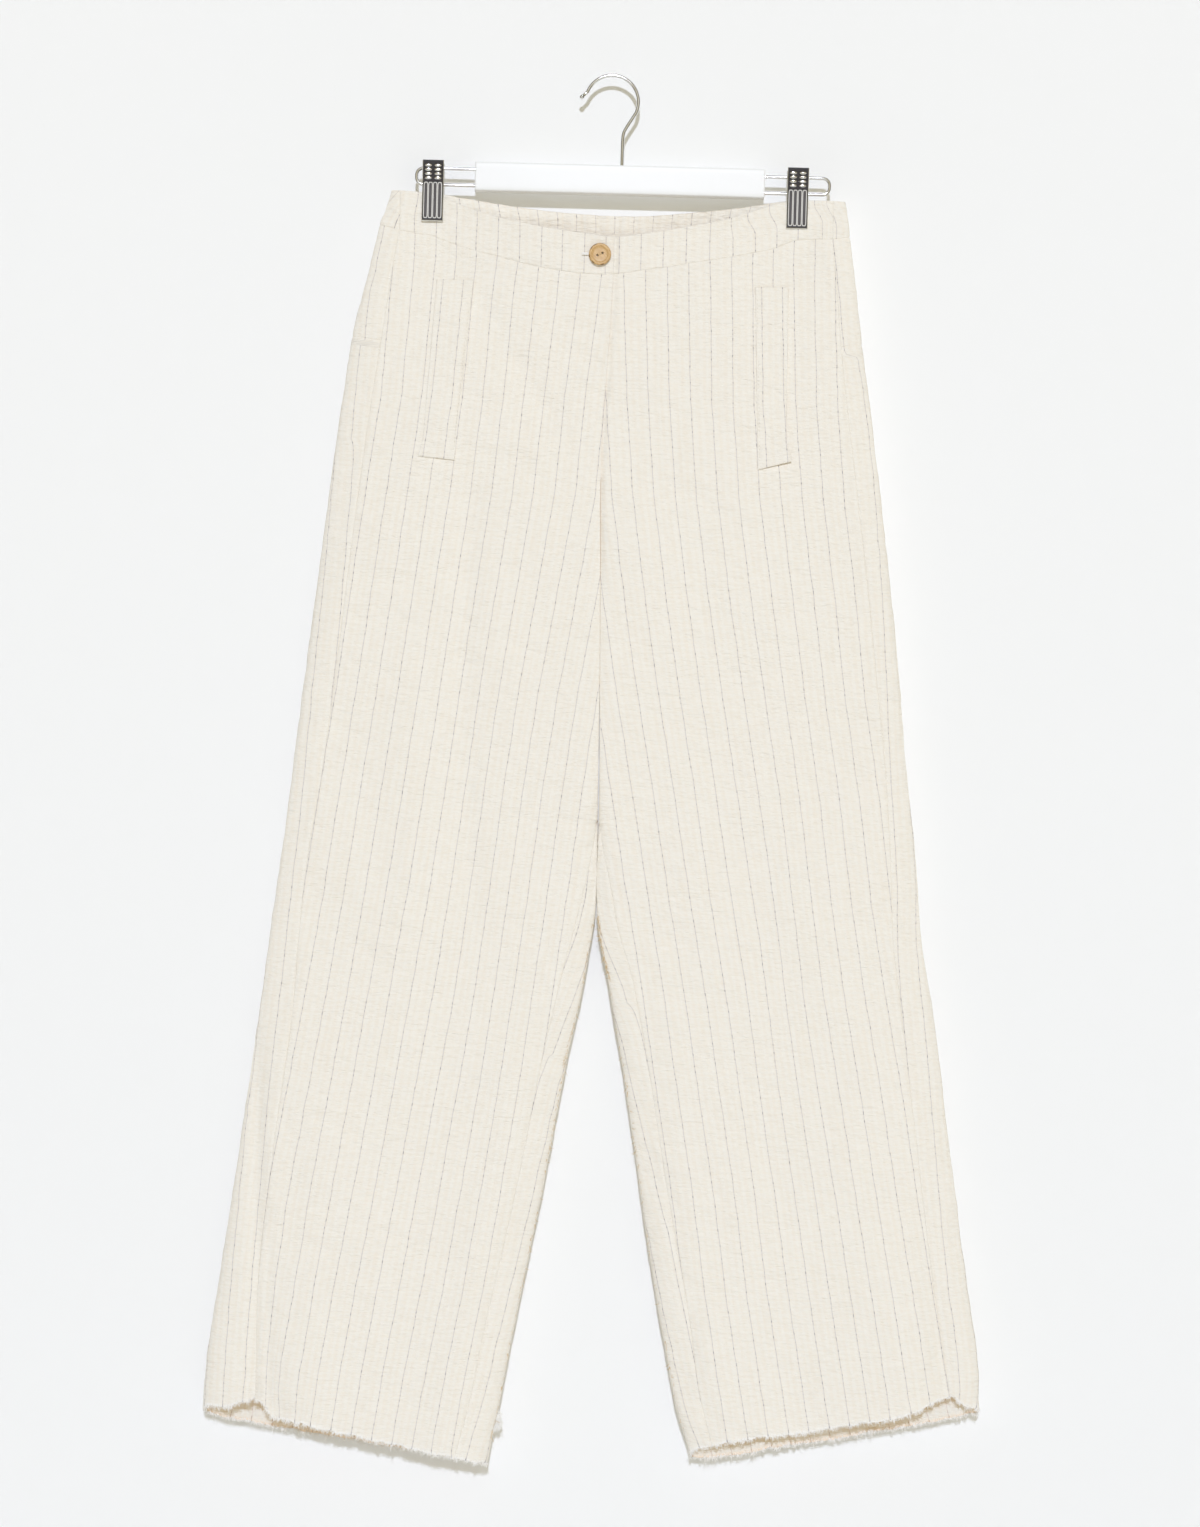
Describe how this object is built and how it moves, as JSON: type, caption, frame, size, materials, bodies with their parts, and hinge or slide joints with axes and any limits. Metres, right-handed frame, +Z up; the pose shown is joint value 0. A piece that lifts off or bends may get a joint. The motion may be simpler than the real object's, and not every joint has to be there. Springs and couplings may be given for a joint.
{
  "type": "cotton trousers on a clip hanger",
  "caption": "Wide cropped striped cotton trousers with a buttoned waistband, pocket welts and raw hems, hung by the waist from a clip hanger.",
  "frame": {"origin": "top of the inside of the hanger's hook, where the hanger rests on what holds it", "axes": "+Z up, +X to the viewer's right (the wearer's left), the front faces -Y"},
  "size_m": [0.628, 0.0346, 1.1274],
  "materials": {
    "cotton": "matte crinkled cotton with fine dark pinstripes",
    "button": "satin golden horn or wood",
    "bar": "satin white paint",
    "wire": "bright chrome",
    "clip": "bright ribs on a darkened ground"
  },
  "bodies": {
    "root": {"waistband_front_right": "cotton", "waistband_front_left": "cotton", "waistband_back": "cotton", "front_right": "cotton", "front_left": "cotton", "yoke_right": "cotton", "yoke_left": "cotton", "back_right": "cotton", "back_left": "cotton", "pocket_welt_right": "cotton", "pocket_welt_left": "cotton", "button": "button", "hanger_bar": "bar", "hanger_wire_right": "wire", "hanger_wire_left": "wire", "hanger_hook": "wire", "clip_front_right": "clip", "clip_front_left": "clip", "clip_back_right": "clip", "clip_back_left": "clip", "clip_barrel_right": "clip", "clip_barrel_left": "clip"}
  },
  "joints": []
}
